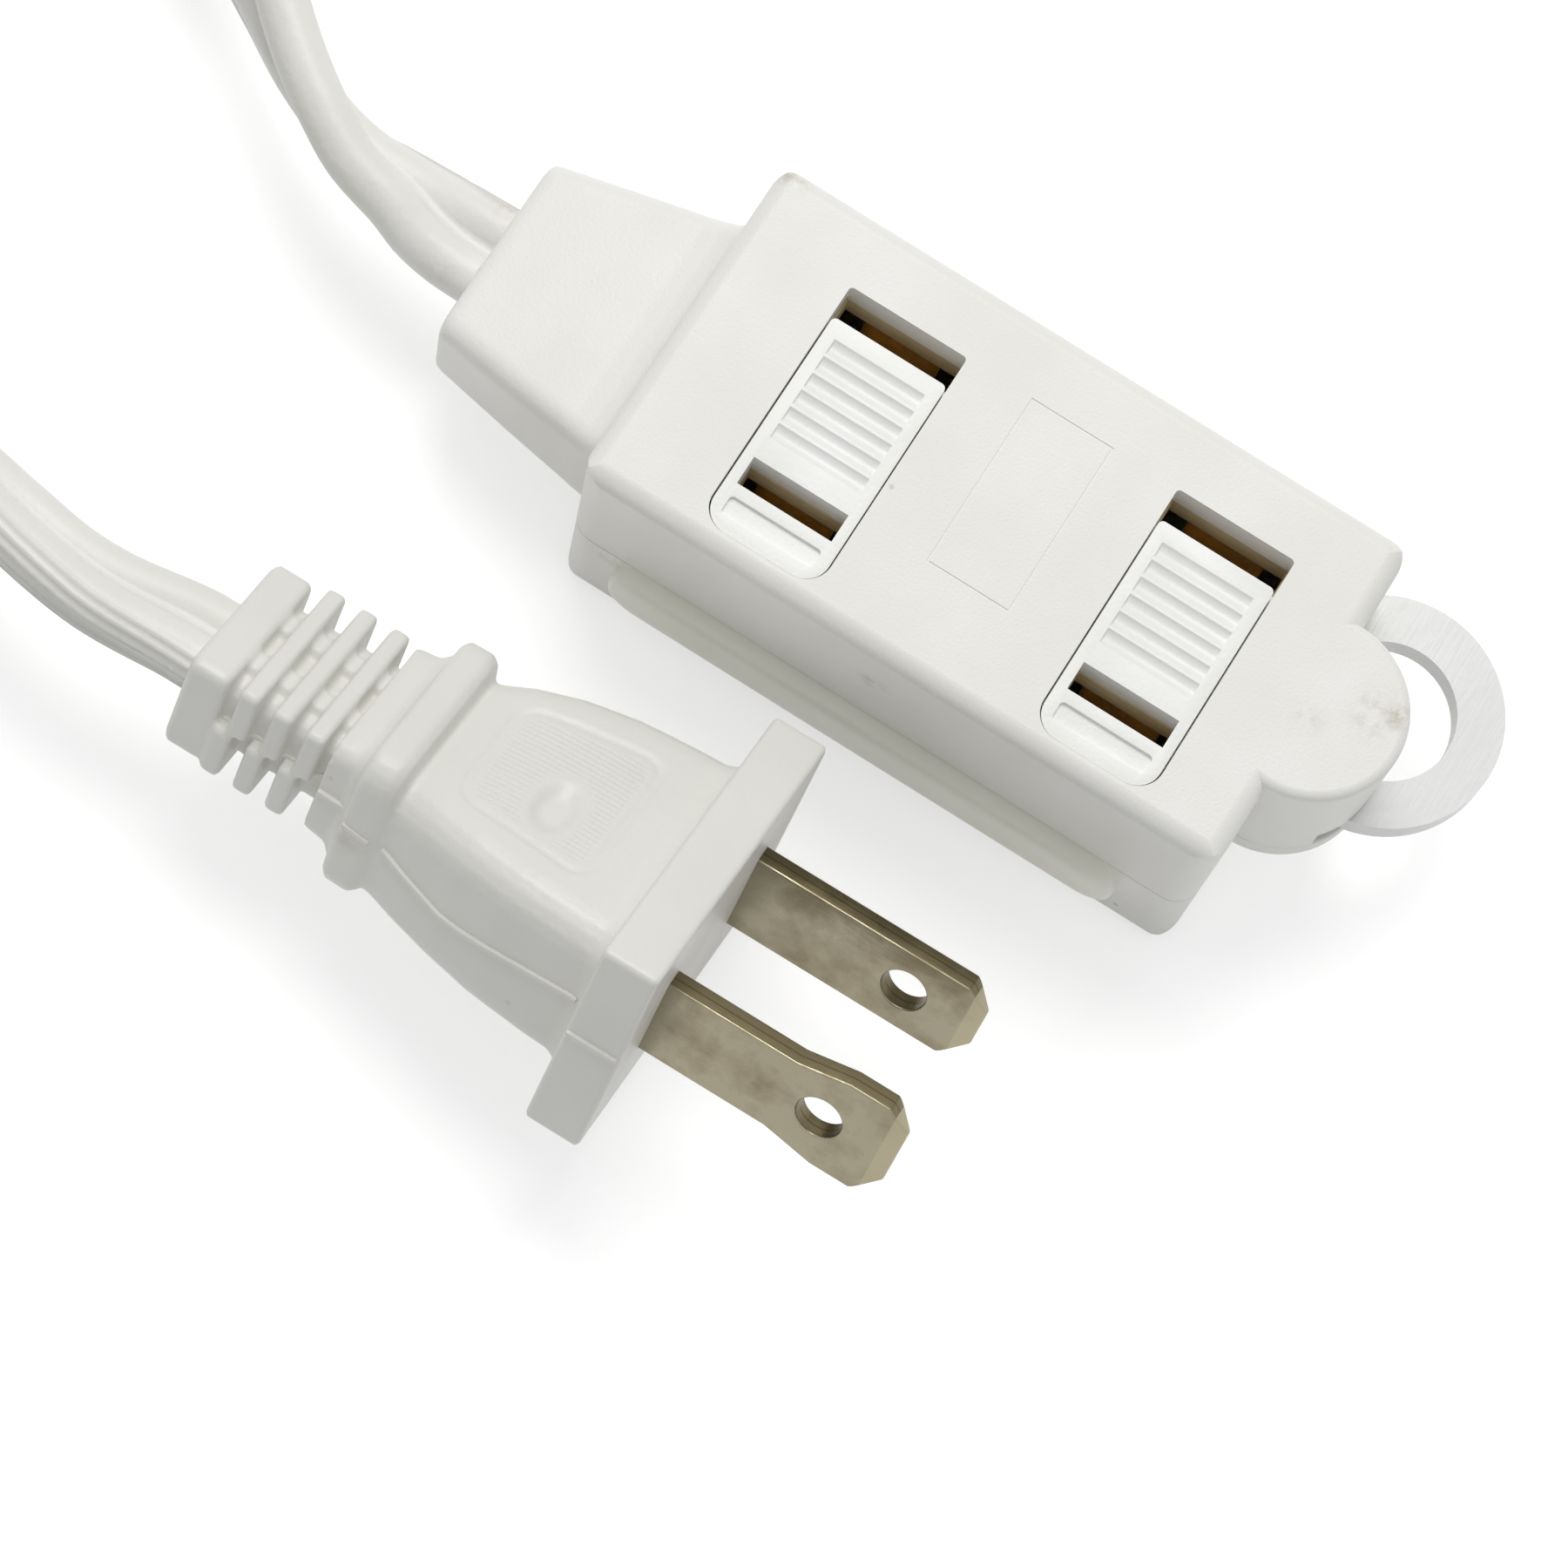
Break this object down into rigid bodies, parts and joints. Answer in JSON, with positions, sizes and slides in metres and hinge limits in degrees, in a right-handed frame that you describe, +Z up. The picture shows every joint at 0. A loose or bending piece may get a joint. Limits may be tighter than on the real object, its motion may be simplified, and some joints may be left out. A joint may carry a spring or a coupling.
{
  "type": "two-wire indoor extension cord",
  "caption": "Flat twin extension cord with a polarised two-blade plug, a block tap with sliding outlet covers and a swivelling hanging ring.",
  "frame": {"origin": "centre of the tap body's bottom face", "axes": "+X along the tap toward its hanging ring, +Y toward the tap's far long side, +Z up through the outlets"},
  "size_m": [0.1965, 0.0898, 0.0259],
  "materials": {
    "housing": "satin",
    "cover": "satin",
    "ring": "gloss",
    "grip": "satin",
    "carrier": "matte",
    "contacts": "satin",
    "copper": "satin",
    "cord": "satin",
    "tie": "matte",
    "plug": "satin",
    "bridge": "matte",
    "blades": "satin"
  },
  "bodies": {
    "tap": {"upper_housing": "housing", "lower_housing": "housing", "near_grip_bar": "grip", "far_grip_bar": "grip", "contact_carrier": "carrier", "neutral_bus": "contacts", "hot_bus": "contacts", "cord_block": "housing", "tap_neutral_wire": "copper", "tap_hot_wire": "copper", "cord_tap_side": "cord", "cord_coil": "cord", "cord_tie": "tie", "cord_plug_side": "cord", "plug_body": "plug", "plug_bridge": "bridge", "narrow_blade": "blades", "wide_blade": "blades", "narrow_crimp": "contacts", "wide_crimp": "contacts", "plug_narrow_wire": "copper", "plug_wide_wire": "copper"},
    "rear_cover": {"rear_cover": "cover"},
    "front_cover": {"front_cover": "cover"},
    "hanging_ring": {"hanging_ring": "ring"}
  },
  "joints": [
    {"name": "rear_cover_slide", "type": "slide", "parent": "tap", "child": "rear_cover", "axis": [0, 1, 0], "range_m": [0, 0.0021]},
    {"name": "front_cover_slide", "type": "slide", "parent": "tap", "child": "front_cover", "axis": [0, 1, 0], "range_m": [0, 0.0021]},
    {"name": "ring_swing", "type": "hinge", "parent": "tap", "child": "hanging_ring", "pos_m": [0.02315, 0, 0.0099], "axis": [0, 0, 1], "range_deg": [-20, 0]}
  ]
}
